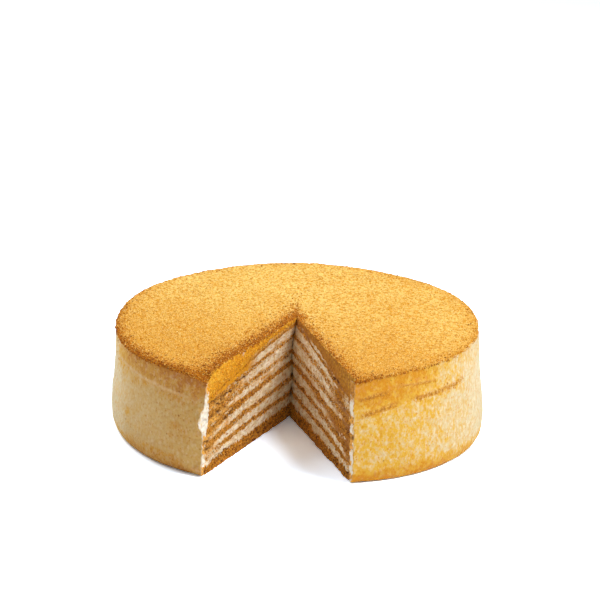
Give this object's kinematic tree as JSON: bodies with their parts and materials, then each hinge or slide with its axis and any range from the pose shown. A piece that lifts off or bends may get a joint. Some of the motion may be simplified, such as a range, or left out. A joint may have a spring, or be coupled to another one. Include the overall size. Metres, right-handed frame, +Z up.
{
  "type": "honey cake",
  "caption": "Round layered honey cake standing on its flat base, with a slice cut out to show sponge and cream layers, a cream-coated side and a crumb-covered top.",
  "frame": {"origin": "middle of the outline's box, on the plane that the cake stands on", "axes": "+Z up; the open cut faces -Y, so +X is on the right of someone who looks into the cut"},
  "size_m": [0.2068, 0.1994, 0.0606],
  "materials": {
    "sponge": "matt, open brown honey sponge",
    "cream_filling": "soft satin cream with crumbs in it",
    "side_coat": "satin cream stained yellow by fine crumbs",
    "crumb_crust": "dry golden crumbs"
  },
  "bodies": {
    "root": {"base_sponge": "sponge", "sponge_2": "sponge", "sponge_3": "sponge", "sponge_4": "sponge", "sponge_5": "sponge", "sponge_6": "sponge", "sponge_7": "sponge", "cream_1": "cream_filling", "cream_2": "cream_filling", "cream_3": "cream_filling", "cream_4": "cream_filling", "cream_5": "cream_filling", "cream_6": "cream_filling", "cream_7": "cream_filling", "cream_coat": "side_coat", "crumb_crust": "crumb_crust"}
  },
  "joints": []
}
